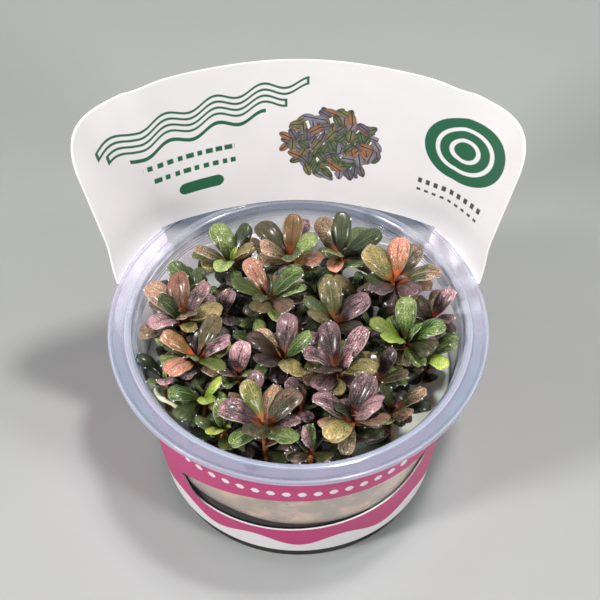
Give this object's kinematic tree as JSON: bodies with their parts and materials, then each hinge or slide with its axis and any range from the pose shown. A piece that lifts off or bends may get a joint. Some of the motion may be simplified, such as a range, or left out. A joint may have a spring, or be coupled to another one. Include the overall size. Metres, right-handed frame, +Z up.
{
  "type": "tissue culture aquarium plant cup",
  "caption": "Flanged see-through cup of growing gel, packed with small bucephalandra plantlets, in a card sleeve that rises behind as a display header.",
  "frame": {"origin": "centre of the cup's flat underside, where it stands on a surface", "axes": "+Z up along the cup's axis; -Y is the front, with the sleeve's window; +Y is the back, with the header; +X is to the right seen from the front, along the header's width"},
  "size_m": [0.1153, 0.1001, 0.1035],
  "materials": {
    "cup_plastic": "milky see-through polypropylene",
    "gel": "cloudy beige gel",
    "card": "printed card, magenta below and white above",
    "leaf_green": "glossy leaf",
    "leaf_lime": "glossy leaf",
    "leaf_olive": "glossy leaf",
    "leaf_brown": "glossy leaf",
    "leaf_mauve": "glossy leaf",
    "leaf_coral": "glossy leaf"
  },
  "bodies": {
    "root": {"cup": "cup_plastic", "gel_medium": "gel", "card_sleeve": "card", "plantlet_01": "leaf_brown", "plantlet_02": "leaf_coral", "plantlet_03": "leaf_olive", "plantlet_04": "leaf_green", "plantlet_05": "leaf_mauve", "plantlet_06": "leaf_coral", "plantlet_07": "leaf_green", "plantlet_08": "leaf_green", "plantlet_09": "leaf_green", "plantlet_10": "leaf_olive", "plantlet_11": "leaf_green", "plantlet_12": "leaf_lime", "plantlet_13": "leaf_brown", "plantlet_14": "leaf_mauve", "plantlet_15": "leaf_mauve", "plantlet_16": "leaf_mauve", "plantlet_17": "leaf_brown", "plantlet_18": "leaf_olive", "plantlet_19": "leaf_coral", "plantlet_20": "leaf_mauve", "plantlet_21": "leaf_coral", "plantlet_22": "leaf_green", "plantlet_23": "leaf_lime", "plantlet_24": "leaf_green", "plantlet_25": "leaf_mauve", "plantlet_26": "leaf_brown", "plantlet_27": "leaf_mauve", "plantlet_28": "leaf_green", "plantlet_29": "leaf_green", "plantlet_30": "leaf_green", "plantlet_31": "leaf_green"}
  },
  "joints": []
}
